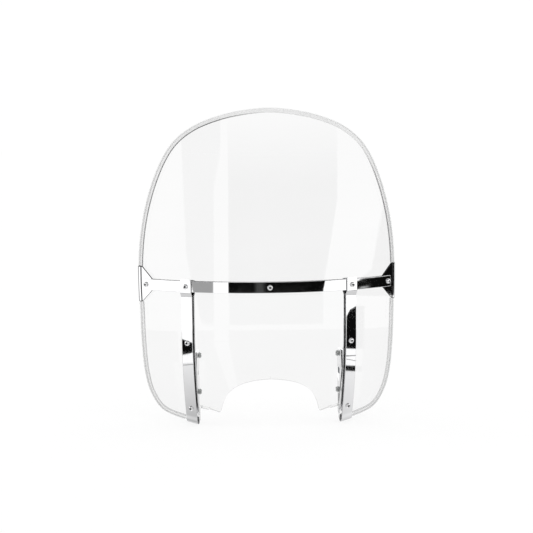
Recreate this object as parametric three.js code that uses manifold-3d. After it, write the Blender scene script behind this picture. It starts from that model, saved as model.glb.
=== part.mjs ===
// Detachable motorcycle windshield: a clear bent panel held between chrome straps,
// with two side brackets that dock onto the fork and a sprung wire latch on each.
//
// Millimetres, +Z up. X runs across the motorcycle, -Y is the front of the shield and
// +Y the rider's side. The shapes are laid out from the middle of the horizontal strap,
// and the finished group is moved so that its origin lies midway between the two latch
// pivots, where the fork holds the shield.

import * as THREE from 'three';
import { mergeVertices } from 'three/addons/utils/BufferGeometryUtils.js';
import Module from 'manifold-3d';

const wasm = await Module();
wasm.setup();

// ---------------------------------------------------------------- driving dimensions

const gap = 0.3; // clearance between pieces that touch
const nutGap = 0.5; // and behind a nut, whose flat face bridges the hollow of the sheet
const degree = Math.PI / 180;
const cutReach = 400; // cutting shapes reach past the whole shield
const frontReach = 60; // and past every layer in front of the panel
const cutMargin = 1; // how far a cutter runs past a flat face

// The sheet is rolled about a vertical axis and also swept back towards its lower edge.
const rollRadius = 380; // front face about the vertical axis
const sweepRadius = 950; // front face of the swept-back lower part, seen from the side
const sweepStart = -90; // height where the sweep begins
const sheetTop = 362;
const sheetBottom = -300;
const panelThickness = 4.5;
const rollSteps = 120;
const sweepSteps = 8;
const sweepAngle = 13 * degree;

// Clear edge trim
const trimWall = 1.5;
const trimCover = 10; // how far the channel reaches in from the edge
const slotMargin = 5; // the slot is cut this far past the channel's mouth
const hookEdge = 171; // where the lower trims end, beside the hooks

// Metal parts
const strapHeight = 22;
const strapThickness = 2;
const strapCorner = 2; // bevelled corner
const strapReach = 252; // half of the strap's width across the shield
const rearStrapReach = 248;
const gasketThickness = 1.5;
const gasketReach = 232.5;
const clipSheet = 1.5;
const clipHeight = 36; // half height of a clip at the panel's edge
const clipNeck = 11.6; // half height of a clip at its inner end
const clipTaper = 21; // how far across the slanted ends run
const clipCover = 60; // how far in the clip's two faces are laid before they are trimmed
const clipOverhang = 0.5;
const braceWidth = 24;
const braceThickness = 2;
const braceAngle = Math.asin(163.5 / rollRadius);
const braceTop = 14.5;
const joggleLength = 9;
const joggleMargin = 1; // between the strap's lower edge and the joggle
const hookWidth = 24;
const hookSheet = 2.2;
const hookClearance = 0.7;
const hookLip = 9;
const hookLeg = 8; // the hook's front leg, which laps the brace
const hookLap = 4; // where the brace ends above the hook's centre
const hookSlant = 11 * degree;
const hookCentreHeight = -275.2;
const flangeThickness = 2.2;
const flangeLap = 1; // how far the flange shows inboard of the front brace
const flangeTop = 12.5;
const flangeBottom = -258;
const weldDepth = 0.5; // how far the side plate runs into the flange
const lipRoom = 2.5; // the plate stands back from the hook's lip
const lipDrop = 4; // from this far below the flange

// Side plates
const plateThickness = 2.5;
const plateDepth = 46;
const plateTop = -133;
const plateBottom = -269;
const plateSplay = 8.5 * degree; // the plates close in towards the rear
const notchWidth = 13;
const upperNotchHeight = -180;
const upperNotchLength = 14; // straight part, from the rear edge
const lowerNotchDepth = 27; // how far back the lower notch lies
const lowerNotchLength = 16; // straight part, from the lower edge
const toeRise = 8; // height of the lower edge in front of the lower notch
const heelRise = 26; // and at the front of the plate
const topCorner = 12;
const bottomCorner = 10;
const plateRoot = 12; // the plate is drawn this far forward and trimmed at the flange
const pinDepth = 36.5;
const pivotHeight = -145;
const stopHeight = -219.5;

// Screws and nuts, M6
const shankRadius = 3;
const boreRadius = shankRadius + gap;
const boreReach = 14; // how far a bore's cutter runs each way
const headRadius = 5.25;
const headHeight = 3.2;
const headRim = 0.5; // upright edge of the head
const headFlat = 1.9; // flat radius on top of the head
const hexKeyRadius = 2.3;
const hexKeyDepth = 2;
const nutRadius = 5.77; // 10 mm across flats
const nutHeight = 4.2;
const domeRadius = 4.6;
const domeRoot = 1;
const domeBase = 4.8;
const domeSteps = 3;
const nutBoreDepth = 7.5;
const shankRoom = 2; // left in the cap nut beyond the shank's end
const lockNutHeight = 3.6;
const collarRoot = 3;
const collarTop = 5;
const pinTail = 5.5; // how far a pin's shank runs into the lock nut
const topScrewHeight = 0;
const middleScrewHeight = -113.5;
const lowScrewHeight = -248;
const clipScrewAngle = Math.asin(243.5 / rollRadius);

// Latch wire
const wireRadius = 1.6;
const coilRadius = shankRadius + gap + wireRadius;
const coilPitch = 2 * wireRadius + gap;
const coilTurns = 1.25;
const coilPoints = 18;
const wireSides = 6;
const wireSteps = 50;
const roundSides = 12; // facets around screws, nuts and bores
const hexSides = 6;

// How far each layer lies from the panel's front face, towards the front
const rearFace = -panelThickness;
const strapOffset = gap + gasketThickness + gap;
const capOffset = strapOffset + strapThickness + gap;
const rearStrapOffset = rearFace - gap - gasketThickness - gap - strapThickness;
const flangeOffset = rearFace - gap - flangeThickness;
const flangeCapOffset = rearStrapOffset - gap - flangeThickness;

// ---------------------------------------------------------------- materials

function material(color, metalness, roughness, opacity = 1) {
  const transparent = opacity < 1;
  return new THREE.MeshStandardMaterial({ color, metalness, roughness, opacity, transparent });
}

const clearSheet = material(0xf2f6f7, 0, 0.05, 0.3);
const clearTrim = material(0xdfe4e6, 0, 0.25, 0.6);
const chrome = material(0xd9dcde, 1, 0.08);
const zincSteel = material(0xb9bdc0, 1, 0.3);
const springSteel = material(0x8e9296, 1, 0.25);
const blackRubber = material(0x1b1b1c, 0, 0.85);

// ---------------------------------------------------------------- solids

// A closed geometry as a manifold solid, with its faces turned outward.
function solid(geometry) {
  const plain = geometry.index ? geometry.toNonIndexed() : geometry.clone();
  plain.deleteAttribute('normal');
  plain.deleteAttribute('uv');
  const merged = mergeVertices(plain, 1e-4);
  const vertProperties = new Float32Array(merged.attributes.position.array);
  const triVerts = new Uint32Array(merged.index.array);
  const made = new wasm.Manifold(new wasm.Mesh({ numProp: 3, vertProperties, triVerts }));
  if (made.volume() > 0) return made;
  for (let i = 0; i < triVerts.length; i += 3) {
    const kept = triVerts[i];
    triVerts[i] = triVerts[i + 1];
    triVerts[i + 1] = kept;
  }
  return new wasm.Manifold(new wasm.Mesh({ numProp: 3, vertProperties, triVerts }));
}

function geometryOf(body) {
  const mesh = body.getMesh();
  const geometry = new THREE.BufferGeometry();
  geometry.setAttribute('position', new THREE.BufferAttribute(mesh.vertProperties, 3));
  geometry.setIndex(new THREE.BufferAttribute(mesh.triVerts, 1));
  return geometry;
}

// A point of the swept profile, as (distance from the roll axis, height).
// along is the distance up the front face from the strap, offset is out of that face.
function profilePoint(along, offset) {
  if (along >= sweepStart) return new THREE.Vector2(rollRadius + offset, along);
  const angle = (sweepStart - along) / sweepRadius;
  const reach = sweepRadius + offset;
  const centre = rollRadius - sweepRadius;
  const height = sweepStart - reach * Math.sin(angle);
  return new THREE.Vector2(centre + reach * Math.cos(angle), height);
}

// Distances along the profile where the sheet's facets break, from the bottom up.
function facetBreaks(from, to) {
  const breaks = [from];
  for (let step = sweepSteps; step >= 0; step -= 1) {
    const along = sweepStart - (sweepRadius * sweepAngle * step) / sweepSteps;
    if (along > from + 0.5 && along < to - 0.5) breaks.push(along);
  }
  breaks.push(to);
  return breaks;
}

// The distance along the profile whose front face lies at a height.
function alongAt(height) {
  if (height >= sweepStart) return height;
  return sweepStart - sweepRadius * Math.asin((sweepStart - height) / sweepRadius);
}

function revolve(profile) {
  const geometry = new THREE.LatheGeometry([...profile, profile[0]], rollSteps);
  geometry.rotateX(Math.PI / 2);
  geometry.translate(0, rollRadius, 0);
  return solid(geometry);
}

// The whole sheet between two offsets from its front face, as a closed ring.
function shell(inner, outer, from = sheetBottom, to = sheetTop) {
  const breaks = facetBreaks(from, to);
  const front = breaks.map((along) => profilePoint(along, outer));
  const back = breaks.map((along) => profilePoint(along, inner)).reverse();
  return revolve([...front, ...back]);
}

// A shape drawn in the front view, X across and Z up, carried from the front to the roll axis.
function prism(points) {
  const outline = new THREE.Shape(points);
  const geometry = new THREE.ExtrudeGeometry(outline, { depth: cutReach, bevelEnabled: false });
  geometry.rotateX(Math.PI / 2);
  geometry.translate(0, rollRadius, 0);
  return solid(geometry);
}

// An upright slab of the given width that runs outward from the roll axis.
function radialSlab(angle, width, from, to) {
  const geometry = new THREE.BoxGeometry(width, cutReach, to - from);
  geometry.translate(0, -cutReach / 2, (from + to) / 2);
  geometry.rotateZ(angle);
  geometry.translate(0, rollRadius, 0);
  return solid(geometry);
}

// A rod or a hexagonal bar along +Z, from one level to another.
function bar(radius, from, to, sides = roundSides) {
  const geometry = new THREE.CylinderGeometry(radius, radius, to - from, sides);
  geometry.rotateX(Math.PI / 2);
  geometry.translate(0, 0, (from + to) / 2);
  return solid(geometry);
}

// ---------------------------------------------------------------- placing things on the sheet

// The frame at a place on the sheet: +Z is the outward normal, +X runs across.
function seat(angle, height, offset = 0) {
  const along = alongAt(height);
  const point = profilePoint(along, offset);
  const sweep = along < sweepStart ? (sweepStart - along) / sweepRadius : 0;
  const outward = new THREE.Vector3(Math.sin(angle), -Math.cos(angle), 0);
  const normal = outward.clone().multiplyScalar(Math.cos(sweep));
  normal.z = -Math.sin(sweep);
  const across = new THREE.Vector3(Math.cos(angle), Math.sin(angle), 0);
  const up = normal.clone().cross(across);
  const place = new THREE.Matrix4().makeBasis(across, up, normal);
  place.setPosition(outward.x * point.x, rollRadius + outward.y * point.x, point.y);
  return place;
}

function placed(body, place) {
  return body.transform(place.toArray());
}

const group = new THREE.Group();

function add(name, body, look) {
  const mesh = new THREE.Mesh(geometryOf(body), look);
  mesh.name = name;
  group.add(mesh);
}

// Every screw: where it sits, and how far its stack of layers reaches in front and behind.
const thinStack = { front: gap + braceThickness, rear: flangeOffset };
const capStack = { front: capOffset + braceThickness, rear: flangeCapOffset };
const strapStack = { front: strapOffset + strapThickness, rear: rearStrapOffset };
const screwPlaces = [{ name: 'centre', angle: 0, height: topScrewHeight, ...strapStack }];
for (const [side, sign] of [['left', -1], ['right', 1]]) {
  const brace = sign * braceAngle;
  const clip = sign * clipScrewAngle;
  screwPlaces.push({ name: `${side}_clip`, angle: clip, height: topScrewHeight, ...strapStack });
  screwPlaces.push({ name: `${side}_top`, angle: brace, height: topScrewHeight, ...capStack });
  screwPlaces.push({ name: `${side}_middle`, angle: brace, height: middleScrewHeight, ...thinStack });
  screwPlaces.push({ name: `${side}_low`, angle: brace, height: lowScrewHeight, ...thinStack });
}

const screwBores = screwPlaces.map(({ angle, height }) => {
  const bore = bar(boreRadius, -boreReach, boreReach);
  return placed(bore, seat(angle, height));
});

function drilled(body) {
  return screwBores.reduce((rest, bore) => rest.subtract(bore), body);
}

// ---------------------------------------------------------------- outline of the shield

// The right half of the trimmed edge, from the crown down to the hook.
const crownToHook = new THREE.SplineCurve([
  new THREE.Vector2(-60, 345.5),
  new THREE.Vector2(0, 351.5),
  new THREE.Vector2(60, 345.5),
  new THREE.Vector2(107, 334),
  new THREE.Vector2(150, 316),
  new THREE.Vector2(187, 287.5),
  new THREE.Vector2(214, 247),
  new THREE.Vector2(237, 190),
  new THREE.Vector2(253, 127),
  new THREE.Vector2(261.2, 62),
  new THREE.Vector2(262.3, 0),
  new THREE.Vector2(260.3, -60),
  new THREE.Vector2(258.3, -120),
  new THREE.Vector2(253, -180),
  new THREE.Vector2(241, -225),
  new THREE.Vector2(216, -258.5),
  new THREE.Vector2(171, -273.8),
  new THREE.Vector2(135, -281),
]);
const edgeSamples = 52;
const crownPoint = 1 / (crownToHook.points.length - 1); // the curve's second point
const hookPoint = 1 - crownPoint; // and its last point but one

// The edge from the crown to the hook, moved inward by a distance.
function halfEdge(inset) {
  const points = [];
  for (let i = 0; i <= edgeSamples; i += 1) {
    const t = THREE.MathUtils.lerp(crownPoint, hookPoint, i / edgeSamples);
    const point = crownToHook.getPoint(t);
    const tangent = crownToHook.getTangent(t);
    points.push(new THREE.Vector2(point.x + tangent.y * inset, point.y - tangent.x * inset));
  }
  points[0].x = 0;
  return points;
}

function mirrored(points) {
  return points.map(({ x, y }) => new THREE.Vector2(-x, y)).reverse();
}

// From the hook inward: the lobe's tip, the step up behind the side plate and half of the arch.
function lowerEdge() {
  const path = new THREE.Path();
  const tipRadius = 5;
  const stepX = 141.5;
  const tipHeight = -277.7;
  const ledgeHeight = -245;
  path.moveTo(stepX + tipRadius, tipHeight + 0.8);
  path.quadraticCurveTo(stepX, tipHeight, stepX, tipHeight + tipRadius);
  path.lineTo(stepX, ledgeHeight - tipRadius);
  path.quadraticCurveTo(stepX, ledgeHeight, stepX - tipRadius, ledgeHeight);
  path.quadraticCurveTo(118, -248, 103, -253.5);
  path.quadraticCurveTo(99.5, -254.5, 98.5, -250);
  path.bezierCurveTo(92, -214, 74, -186, 0, -184);
  return path.getPoints(10);
}

function panelOutline() {
  const rightEdge = halfEdge(trimWall + gap);
  const rightLower = lowerEdge();
  const right = [...rightEdge, ...rightLower];
  const left = mirrored(right.slice(1, -1));
  return [...right, ...left];
}

// The band that follows the trimmed edge from hook to hook, between two insets.
function edgeBand(outerInset, innerInset) {
  const outer = [...mirrored(halfEdge(outerInset)).slice(0, -1), ...halfEdge(outerInset)];
  const inner = [...mirrored(halfEdge(innerInset)).slice(0, -1), ...halfEdge(innerInset)];
  return prism([...outer, ...inner.reverse()]);
}

// ---------------------------------------------------------------- panel and trim

const panel = drilled(shell(rearFace, 0).intersect(prism(panelOutline())));
add('windshield_panel', panel, clearSheet);

// A channel around the panel's edge, made of one wall thickness on three sides.
function edgeChannel(wall, outerInset, innerInset) {
  const band = edgeBand(outerInset, innerInset);
  const slotBand = edgeBand(trimWall, innerInset + slotMargin);
  const slot = shell(rearFace - gap, gap).intersect(slotBand);
  return shell(rearFace - gap - wall, gap + wall).intersect(band).subtract(slot);
}

const channel = edgeChannel(trimWall, 0, trimCover);
const trimStop = clipHeight + 2 * gap;

// A rectangle of the front view, carried back to the roll axis.
function frontWindow(minX, maxX, minZ, maxZ) {
  return prism([
    new THREE.Vector2(minX, minZ),
    new THREE.Vector2(maxX, minZ),
    new THREE.Vector2(maxX, maxZ),
    new THREE.Vector2(minX, maxZ),
  ]);
}

const upperWindow = frontWindow(-cutReach, cutReach, trimStop, cutReach);
const leftWindow = frontWindow(-cutReach, -hookEdge, -cutReach, -trimStop);
const rightWindow = frontWindow(hookEdge, cutReach, -cutReach, -trimStop);
add('upper_edge_trim', channel.intersect(upperWindow), clearTrim);
add('left_lower_edge_trim', channel.intersect(leftWindow), clearTrim);
add('right_lower_edge_trim', channel.intersect(rightWindow), clearTrim);

// ---------------------------------------------------------------- horizontal straps and gaskets

// A strip across the shield at one offset from the panel, with bevelled corners.
function strap(offset, thickness, reach) {
  const half = strapHeight / 2;
  const shortReach = reach - strapCorner;
  const shortHalf = half - strapCorner;
  const outline = [
    new THREE.Vector2(-shortReach, -half),
    new THREE.Vector2(shortReach, -half),
    new THREE.Vector2(reach, -shortHalf),
    new THREE.Vector2(reach, shortHalf),
    new THREE.Vector2(shortReach, half),
    new THREE.Vector2(-shortReach, half),
    new THREE.Vector2(-reach, shortHalf),
    new THREE.Vector2(-reach, -shortHalf),
  ];
  const layer = shell(offset, offset + thickness, -strapHeight, strapHeight);
  return drilled(layer.intersect(prism(outline)));
}

add('front_strap', strap(strapOffset, strapThickness, strapReach), chrome);
add('rear_strap', strap(rearStrapOffset, strapThickness, rearStrapReach), chrome);
add('front_strap_gasket', strap(gap, gasketThickness, gasketReach), blackRubber);
const rearGasketOffset = rearFace - gap - gasketThickness;
add('rear_strap_gasket', strap(rearGasketOffset, gasketThickness, gasketReach), blackRubber);

// ---------------------------------------------------------------- end clips

const clipBody = edgeChannel(clipSheet, -clipOverhang, clipCover);

for (const [side, sign] of [['left', -1], ['right', 1]]) {
  const inner = sign * (gasketReach + 2 * gap);
  const shoulder = inner + sign * clipTaper;
  const outer = sign * cutReach;
  const outline = [
    new THREE.Vector2(inner, -clipNeck),
    new THREE.Vector2(shoulder, -clipHeight),
    new THREE.Vector2(outer, -clipHeight),
    new THREE.Vector2(outer, clipHeight),
    new THREE.Vector2(shoulder, clipHeight),
    new THREE.Vector2(inner, clipNeck),
  ];
  if (sign < 0) outline.reverse();
  add(`${side}_end_clip`, drilled(clipBody.intersect(prism(outline))), chrome);
}

// ---------------------------------------------------------------- front braces

// A strip that follows the sheet, stepping over the horizontal strap at its top.
function steppedStrip(angle, width, top, bottom, capInner, runInner, thickness) {
  const stepTop = -strapHeight / 2 - joggleMargin;
  const stepBottom = stepTop - joggleLength;
  const run = facetBreaks(alongAt(bottom), stepBottom);
  const lift = (inner) => [
    ...run.map((along) => profilePoint(along, runInner + inner)),
    profilePoint(stepTop, capInner + inner),
    profilePoint(top, capInner + inner),
  ];
  const profile = [...lift(thickness), ...lift(0).reverse()];
  return revolve(profile).intersect(radialSlab(angle, width, sheetBottom, sheetTop));
}

// The hook's section, drawn with X out of the front face and Y up, around the panel's edge.
function hookSection() {
  const inner = (panelThickness + 2 * hookClearance) / 2;
  const outer = inner + hookSheet;
  const middle = -panelThickness / 2;
  const shape = new THREE.Shape();
  shape.moveTo(middle + outer, hookLeg);
  shape.lineTo(middle + inner, hookLeg);
  shape.lineTo(middle + inner, 0);
  shape.absarc(middle, 0, inner, 0, -Math.PI, true);
  shape.lineTo(middle - inner, hookLip);
  shape.lineTo(middle - outer, hookLip);
  shape.lineTo(middle - outer, 0);
  shape.absarc(middle, 0, outer, -Math.PI, 0, false);
  shape.lineTo(middle + outer, hookLeg);
  return shape;
}

function hook(sign) {
  const geometry = new THREE.ExtrudeGeometry(hookSection(), {
    depth: hookWidth,
    bevelEnabled: false,
    curveSegments: 6,
  });
  geometry.translate(0, 0, -hookWidth / 2);
  const outward = new THREE.Vector3(0, 0, 1);
  const up = new THREE.Vector3(0, 1, 0);
  const across = new THREE.Vector3(-1, 0, 0);
  const section = new THREE.Matrix4().makeBasis(outward, up, across);
  geometry.applyMatrix4(section);
  geometry.rotateZ(sign * hookSlant);
  geometry.applyMatrix4(seat(sign * braceAngle, hookCentreHeight));
  return solid(geometry);
}

for (const [side, sign] of [['left', -1], ['right', 1]]) {
  const angle = sign * braceAngle;
  const bottom = hookCentreHeight + hookLap;
  const strip = steppedStrip(angle, braceWidth, braceTop, bottom, capOffset, gap, braceThickness);
  add(`${side}_front_brace`, drilled(strip.add(hook(sign))), chrome);
}

// ---------------------------------------------------------------- side brackets

const plateStart = seat(braceAngle, 0, flangeOffset);
const flangeEdge = new THREE.Vector3(-braceWidth / 2 - flangeLap, 0, 0).applyMatrix4(plateStart);

// The frame of a side plate: X rearward along the plate, Y up and Z outward from the shield's middle.
function plateFrame(sign) {
  const rearward = new THREE.Vector3(-sign * Math.sin(plateSplay), Math.cos(plateSplay), 0);
  const up = new THREE.Vector3(0, 0, 1);
  const outward = rearward.clone().cross(up);
  const place = new THREE.Matrix4().makeBasis(rearward, up, outward);
  place.setPosition(sign * flangeEdge.x, flangeEdge.y, 0);
  return place;
}

// In a plate's frame the outboard face is at 0 on the right side; the left plate is its mirror image.
function plateOutline() {
  const half = notchWidth / 2;
  const notchEnd = plateDepth - upperNotchLength;
  const topRear = plateDepth - topCorner;
  const bottomRear = plateDepth - bottomCorner;
  const notchTop = plateBottom + lowerNotchLength;
  const quarter = Math.PI / 2;
  const shape = new THREE.Shape();
  shape.moveTo(-plateRoot, plateTop);
  shape.lineTo(topRear, plateTop);
  shape.absarc(topRear, plateTop - topCorner, topCorner, quarter, 0, true);
  shape.lineTo(plateDepth, upperNotchHeight + half);
  shape.lineTo(notchEnd, upperNotchHeight + half);
  shape.absarc(notchEnd, upperNotchHeight, half, quarter, -quarter, false);
  shape.lineTo(plateDepth, upperNotchHeight - half);
  shape.lineTo(plateDepth, plateBottom + bottomCorner);
  shape.absarc(bottomRear, plateBottom + bottomCorner, bottomCorner, 0, -quarter, true);
  shape.lineTo(lowerNotchDepth + half, plateBottom);
  shape.lineTo(lowerNotchDepth + half, notchTop);
  shape.absarc(lowerNotchDepth, notchTop, half, 0, Math.PI, false);
  shape.lineTo(lowerNotchDepth - half, plateBottom + toeRise);
  shape.lineTo(-plateRoot, plateBottom + heelRise);
  return shape;
}

function plate(sign) {
  const geometry = new THREE.ExtrudeGeometry(plateOutline(), {
    depth: plateThickness,
    bevelEnabled: false,
    curveSegments: 5,
  });
  geometry.translate(0, 0, -plateThickness / 2);
  const bore = bar(boreRadius, -boreReach, boreReach);
  const pivotBore = bore.translate([pinDepth, pivotHeight, 0]);
  const stopBore = bore.translate([pinDepth, stopHeight, 0]);
  const body = solid(geometry).subtract(pivotBore).subtract(stopBore);
  return placed(body, plateFrame(sign));
}

for (const [side, sign] of [['left', -1], ['right', 1]]) {
  const middle = sign * (braceAngle - flangeLap / 2 / rollRadius);
  const width = braceWidth + flangeLap;
  const flange = steppedStrip(
    middle, width, flangeTop, flangeBottom, flangeCapOffset, flangeOffset, flangeThickness,
  );
  // What lies inboard of the plate is cut off the flange.
  const half = cutReach / 2;
  const inward = -sign * (half + plateThickness) / 2;
  const inboard = solid(new THREE.BoxGeometry(half, cutReach, half)).translate([0, -half, inward]);
  // The plate stops inside the flange, and lower down behind the hook's lip.
  const atFlange = shell(flangeOffset + weldDepth, frontReach);
  const lipTop = alongAt(flangeBottom - lipDrop);
  const atLip = shell(flangeOffset - lipRoom, frontReach, sheetBottom, lipTop);
  const behindFlange = plate(sign).subtract(atFlange).subtract(atLip);
  const body = flange.subtract(placed(inboard, plateFrame(sign))).add(behindFlange);
  add(`${side}_side_bracket`, drilled(body), chrome);
}

// ---------------------------------------------------------------- screws and nuts

// A button-head screw along +Z: its head sits on level 0 and its shank points down.
function buttonScrew(length) {
  const profile = [
    new THREE.Vector2(0, -length),
    new THREE.Vector2(shankRadius, -length),
    new THREE.Vector2(shankRadius, 0),
    new THREE.Vector2(headRadius, 0),
  ];
  for (let step = 0; step <= domeSteps; step += 1) {
    const angle = (step / domeSteps) * (Math.PI / 2);
    const radius = headFlat + (headRadius - headFlat) * Math.cos(angle);
    const height = headRim + (headHeight - headRim) * Math.sin(angle);
    profile.push(new THREE.Vector2(radius, height));
  }
  profile.push(new THREE.Vector2(0, headHeight));
  const geometry = new THREE.LatheGeometry(profile, roundSides);
  geometry.rotateX(Math.PI / 2);
  const socket = bar(hexKeyRadius, headHeight - hexKeyDepth, headHeight + cutMargin, hexSides);
  return solid(geometry).subtract(socket);
}

// A cap nut along +Z: its flat face is on level 0 and its dome points up.
function capNut() {
  const profile = [new THREE.Vector2(0, domeRoot), new THREE.Vector2(domeRadius, domeRoot)];
  for (let step = 0; step <= domeSteps; step += 1) {
    const angle = (step / domeSteps) * (Math.PI / 2);
    const height = domeBase + domeRadius * Math.sin(angle);
    profile.push(new THREE.Vector2(domeRadius * Math.cos(angle), height));
  }
  const geometry = new THREE.LatheGeometry(profile, roundSides);
  geometry.rotateX(Math.PI / 2);
  const body = bar(nutRadius, 0, nutHeight, hexSides).add(solid(geometry));
  return body.subtract(bar(boreRadius, -cutMargin, nutBoreDepth));
}

const flipped = new THREE.Matrix4().makeRotationX(Math.PI);

for (const { name, angle, height, front, rear } of screwPlaces) {
  const length = front - rear + 2 * gap + nutBoreDepth - shankRoom;
  const screw = placed(buttonScrew(length), seat(angle, height, front + gap));
  add(`${name}_screw`, screw, chrome);
  const nut = placed(capNut(), seat(angle, height, rear - nutGap).multiply(flipped));
  add(`${name}_cap_nut`, nut, chrome);
}

// ---------------------------------------------------------------- latch pivots and stop pins

// Along a plate's outward normal: the head outboard of the latch, the nut on the inboard face.
const outboardFace = plateThickness / 2;
const coilStart = outboardFace + gap + wireRadius;
const coilEnd = coilStart + coilPitch * coilTurns;
const pivotShoulder = coilEnd + wireRadius + gap;

// A lock nut along +Z: a hexagon with a round collar on top.
function lockNut() {
  const hexagon = bar(nutRadius, 0, lockNutHeight, hexSides);
  const collar = bar(domeRadius, collarRoot, collarTop);
  return hexagon.add(collar).subtract(bar(boreRadius, -cutMargin, collarTop + cutMargin));
}

// A screw or nut set in a side plate at a pin's place, facing out of the plate or inward.
function pinInPlate(body, sign, height, level, facesOut) {
  const turn = facesOut === sign > 0 ? new THREE.Matrix4() : flipped.clone();
  const spot = new THREE.Matrix4().makeTranslation(pinDepth, height, sign * level);
  return placed(body, plateFrame(sign).multiply(spot).multiply(turn));
}

for (const [side, sign] of [['left', -1], ['right', 1]]) {
  const pins = [
    { name: 'latch_pivot', height: pivotHeight, level: pivotShoulder },
    { name: 'latch_stop', height: stopHeight, level: coilStart + wireRadius + gap },
  ];
  for (const { name, height, level } of pins) {
    const length = level + outboardFace + gap + pinTail;
    add(`${side}_${name}_screw`, pinInPlate(buttonScrew(length), sign, height, level, true), chrome);
    const nutLevel = -outboardFace - gap;
    add(`${side}_${name}_nut`, pinInPlate(lockNut(), sign, height, nutLevel, false), zincSteel);
  }
}

// ---------------------------------------------------------------- latch wires

// The latch's centre line in a plate's frame, outward positive: a jaw that closes the upper
// notch and rests on the stop pin, a coil on the pivot, and a thumb loop above it.
function latchPath() {
  const jaw = [
    new THREE.Vector3(pinDepth - 4, stopHeight + coilRadius + 1, coilStart),
    new THREE.Vector3(pinDepth + 4, stopHeight + coilRadius + 2, coilStart),
    new THREE.Vector3(pinDepth + 11, upperNotchHeight - 19, coilStart),
    new THREE.Vector3(pinDepth + 13, upperNotchHeight - 5, coilStart),
    new THREE.Vector3(pinDepth + 12, upperNotchHeight + 10, coilStart),
    new THREE.Vector3(pinDepth + 7, pivotHeight - 12, coilStart),
  ];
  const coil = [];
  for (let i = 0; i <= coilPoints; i += 1) {
    const turned = (i / coilPoints) * coilTurns;
    const angle = turned * 2 * Math.PI;
    const x = pinDepth + coilRadius * Math.cos(angle);
    const y = pivotHeight + coilRadius * Math.sin(angle);
    coil.push(new THREE.Vector3(x, y, coilStart + coilPitch * turned));
  }
  const thumbLoop = [
    new THREE.Vector3(pinDepth - 6, pivotHeight + 9, coilEnd + 0.5),
    new THREE.Vector3(pinDepth - 6, pivotHeight + 15, coilEnd + 2),
    new THREE.Vector3(pinDepth - 1, pivotHeight + 18, coilEnd + 5),
  ];
  return new THREE.CatmullRomCurve3([...jaw, ...coil, ...thumbLoop], false, 'centripetal');
}

// The wire's round section carried along the path; the left latch is the mirror image.
function latchWire(sign) {
  const round = new THREE.Shape();
  for (let i = 0; i < wireSides; i += 1) {
    const angle = (i / wireSides) * 2 * Math.PI;
    const x = wireRadius * Math.cos(angle);
    const y = wireRadius * Math.sin(angle);
    if (i === 0) round.moveTo(x, y);
    else round.lineTo(x, y);
  }
  const geometry = new THREE.ExtrudeGeometry(round, { steps: wireSteps, extrudePath: latchPath() });
  if (sign < 0) geometry.scale(1, 1, -1);
  geometry.applyMatrix4(plateFrame(sign));
  return solid(geometry);
}

for (const [side, sign] of [['left', -1], ['right', 1]]) {
  add(`${side}_latch_wire`, latchWire(sign), springSteel);
}

// ---------------------------------------------------------------- origin between the pivots

const rightPivot = new THREE.Vector3(pinDepth, pivotHeight, 0).applyMatrix4(plateFrame(1));
group.position.set(0, -rightPivot.y, -rightPivot.z);

export default group;
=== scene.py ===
import bmesh
import bpy
import numpy as np
from mathutils import Matrix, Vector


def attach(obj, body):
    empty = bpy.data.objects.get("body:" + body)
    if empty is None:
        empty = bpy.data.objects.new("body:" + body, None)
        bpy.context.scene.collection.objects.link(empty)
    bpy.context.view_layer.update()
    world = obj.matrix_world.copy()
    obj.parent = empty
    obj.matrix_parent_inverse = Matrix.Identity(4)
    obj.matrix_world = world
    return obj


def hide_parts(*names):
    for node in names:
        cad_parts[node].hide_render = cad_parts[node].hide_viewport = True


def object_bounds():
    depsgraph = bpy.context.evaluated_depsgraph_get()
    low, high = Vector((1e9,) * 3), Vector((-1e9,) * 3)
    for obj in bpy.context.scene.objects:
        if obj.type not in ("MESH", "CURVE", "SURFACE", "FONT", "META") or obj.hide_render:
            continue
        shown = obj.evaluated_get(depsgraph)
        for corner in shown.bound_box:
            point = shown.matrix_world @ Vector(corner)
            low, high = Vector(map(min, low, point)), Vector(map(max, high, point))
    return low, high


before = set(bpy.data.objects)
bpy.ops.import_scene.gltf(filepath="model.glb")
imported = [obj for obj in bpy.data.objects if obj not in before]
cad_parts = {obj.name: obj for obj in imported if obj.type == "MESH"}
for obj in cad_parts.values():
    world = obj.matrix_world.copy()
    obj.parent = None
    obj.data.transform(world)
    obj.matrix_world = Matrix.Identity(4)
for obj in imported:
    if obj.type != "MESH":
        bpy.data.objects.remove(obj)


def boxNow():
    return [[float(value) for value in corner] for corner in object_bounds()]


cadBox = boxNow()
print("frame loaded:", len(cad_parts), "nodes")

# ---- the bent sheet everything is clamped to
# Lengths are millimetres from the middle of the horizontal strap, X across, -Y forward, Z up.
# frameShift and the change to metres happen once, when a mesh is made.

frameShift = np.array([0.0, -73.797251, 145.0])
sheet = {"roll": 380.0, "sweep": 950.0, "sweepStart": -90.0, "thickness": 4.5}
gap = 0.3  # clearance between clamped layers
sides = (("left", -1), ("right", 1))

layers = {  # how far each layer lies in front of the panel's front face
    "strap": 2.1,
    "cap": 4.4,
    "rearStrap": -8.3,
    "flange": -7.0,
    "flangeCap": -10.8,
}


def rollRadiusAt(z, offset):
    # distance from the roll axis: R - S + sqrt((S + offset)^2 - (depth below the sweep's start)^2)
    below = np.clip(sheet["sweepStart"] - z, 0, None)
    return sheet["roll"] - sheet["sweep"] + np.sqrt((sheet["sweep"] + offset) ** 2 - below**2)


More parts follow.
